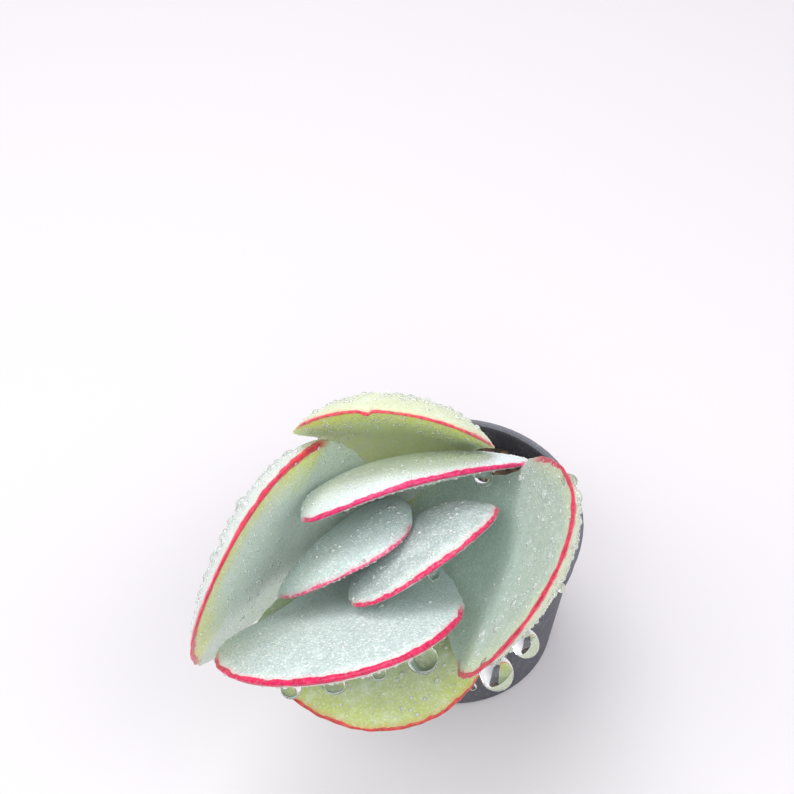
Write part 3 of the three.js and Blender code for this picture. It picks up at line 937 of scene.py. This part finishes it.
def hanging_drop(drop):
    """Points of a drop that swells out of the leaf and hangs straight down."""
    point, out = (v[0] for v in on_leaf(drop["leaf"], drop["turn"], drop["share"], drop["face"]))
    level = unit(np.array([out[0], out[1], 0.0]))
    turns = np.linspace(0, 2 * math.pi, DROP_SIDES, endpoint=False)
    circle = np.stack([np.cos(turns), np.sin(turns), np.zeros(DROP_SIDES)], -1)
    rings = []
    for v in np.linspace(0, 1, DROP_RINGS + 2)[1:-1]:
        width = drop["radius"] * math.sin(math.pi * v**DROP_BELLY_POWER) ** DROP_BLUNTNESS
        centre = point + level * drop["radius"] * (DROP_OUTWARD * v - DROP_INWARD_START)
        centre = centre - np.array([0, 0, drop["length"] * (v - DROP_SUNK)])
        rings.append(centre + width * circle)
    tip = [0, 0, DROP_TIP * drop["length"]]
    return np.vstack([rings[0].mean(0) + tip, *rings, rings[-1].mean(0) - tip])


def make_hanging_drops():
    triangles = []
    for face in skin_faces(DROP_RINGS, DROP_SIDES):
        triangles += [face] if len(face) == 3 else [face[:3], (face[0], *face[2:])]
    points = [hanging_drop(drop) for drop in HANGING_DROPS]
    water_object("hanging_drops", points, [triangles] * len(points), clearness=1.0)


def dome_points(centre, out, wide, narrow, height, spin, ball):
    """A flattened round bead, half sunk in the surface."""
    first = unit(np.cross(out, SLANTED))
    second = np.cross(out, first)
    a, b = math.cos(spin), math.sin(spin)
    long_way, short_way = a * first + b * second, -b * first + a * second
    x, y, z = (ball[:, k : k + 1] for k in range(3))
    return centre + x * wide * long_way + y * narrow * short_way + z * height * out


def bead_object(name, beads, subdivisions, clearness):
    """One mesh of many beads; a bead is its centre, direction out, two half widths, height and spin."""
    shape = bmesh.new()
    bmesh.ops.create_icosphere(shape, subdivisions=subdivisions, radius=1)
    shape.verts.ensure_lookup_table()
    ball = np.array([v.co[:] for v in shape.verts])
    triangles = [[v.index for v in f.verts] for f in shape.faces]
    shape.free()
    water_object(name, [dome_points(*bead, ball) for bead in beads], [triangles] * len(beads), clearness)


def make_lying_drops():
    draw = random.Random(SEED)
    beads = []
    for name, turn, share, face, wide, narrow in LYING_DROPS:
        centre, out = on_leaf(name, turn, share, face)
        height = LYING_DROP_HEIGHT * narrow
        beads.append((centre[0], out[0], wide, narrow, height, draw.uniform(0, math.pi)))
    for name, face, first, last, least, most, count, small, large in BEAD_ROWS:
        turns = [draw.uniform(first, last) for _ in range(count)]
        shares = [draw.uniform(least, most) for _ in range(count)]
        for centre, out in zip(*on_leaf(name, turns, shares, face)):
            size = small + (large - small) * draw.random() ** ROW_BEAD_SMALLNESS
            narrow = size * draw.uniform(*ROW_BEAD_ROUNDNESS)
            beads.append((centre, out, size, narrow, ROW_BEAD_HEIGHT * size, draw.uniform(0, math.pi)))
    bead_object("lying_drops", beads, subdivisions=2, clearness=LYING_DROP_CLEARNESS)


def make_fine_beads():
    draw = random.Random(SEED + 1)
    beads = []
    for name in LEAVES:
        for face in (-1, 1):
            turns = [draw.uniform(*BEAD_TURNS) for _ in range(BEADS_ON_A_FACE)]
            shares = [math.sqrt(draw.uniform(*BEAD_AREA_SHARES)) for _ in range(BEADS_ON_A_FACE)]
            for centre, out in zip(*on_leaf(name, turns, shares, face)):
                sizes = LARGE_BEAD_SIZES if draw.random() < LARGE_BEAD_SHARE else BEAD_SIZES
                size = draw.uniform(*sizes)
                narrow = size * draw.uniform(*BEAD_ROUNDNESS)
                beads.append((centre, out, size, narrow, BEAD_HEIGHT * size, draw.uniform(0, math.pi)))
    bead_object("fine_beads", beads, subdivisions=1, clearness=BEAD_CLEARNESS)


def dress_pot():
    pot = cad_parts["pot"]
    pot.data.materials.clear()
    pot.data.materials.append(pot_material())
    pot.data.polygons.foreach_set("use_smooth", [True] * len(pot.data.polygons))
    pot.data.set_sharp_from_angle(angle=math.radians(POT_CREASE_ANGLE))


# Stage: floor, light and camera
def make_floor():
    corners = [(x * FLOOR_REACH, y * FLOOR_REACH, 0) for x, y in ((-1, -1), (1, -1), (1, 1), (-1, 1))]
    mesh = bpy.data.meshes.new("floor")
    mesh.from_pydata(corners, [], [(0, 1, 2, 3)])
    floor = bpy.data.objects.new("floor", mesh)
    bpy.context.scene.collection.objects.link(floor)
    mesh.materials.append(Nodes("floor").finish(Base_Color=srgb(*FLOOR_TONE), Roughness=0.9))


def area_light(name, at, size, power, colour):
    data = bpy.data.lights.new(name, "AREA")
    data.shape = "DISK"
    data.size = size
    data.energy = power
    data.color = colour
    light = bpy.data.objects.new(name, data)
    light.location = at
    light.rotation_euler = (Vector(LIGHTS_AIM_AT) - Vector(at)).to_track_quat("-Z", "Y").to_euler()
    bpy.context.scene.collection.objects.link(light)


def make_light():
    for panel in PANELS:
        area_light(**panel)
    world = bpy.data.worlds.new("studio")
    world.use_nodes = True
    background = world.node_tree.nodes["Background"]
    background.inputs["Color"].default_value = WORLD_COLOUR
    background.inputs["Strength"].default_value = WORLD_STRENGTH
    bpy.context.scene.world = world
    bpy.context.scene.view_settings.view_transform = "Standard"


def make_camera():
    data = bpy.data.cameras.new("camera")
    data.sensor_width = SENSOR_MM
    data.lens = FOCAL_PIXELS / FRAME_PIXELS * SENSOR_MM
    data.clip_start = CAMERA_NEAR * MM
    camera = bpy.data.objects.new("camera", data)
    camera.location = Vector(CAMERA_AT) * MM
    camera.rotation_euler = (math.radians(90 - CAMERA_PITCH), 0, 0)
    bpy.context.scene.collection.objects.link(camera)
    bpy.context.scene.camera = camera


make_camera()
make_light()
make_floor()
dress_pot()
make_grit(make_soil())
make_stem()
for leaf_name, leaf_values in LEAVES.items():
    make_leaf(leaf_name, leaf_values)
make_hanging_drops()
make_lying_drops()
make_fine_beads()
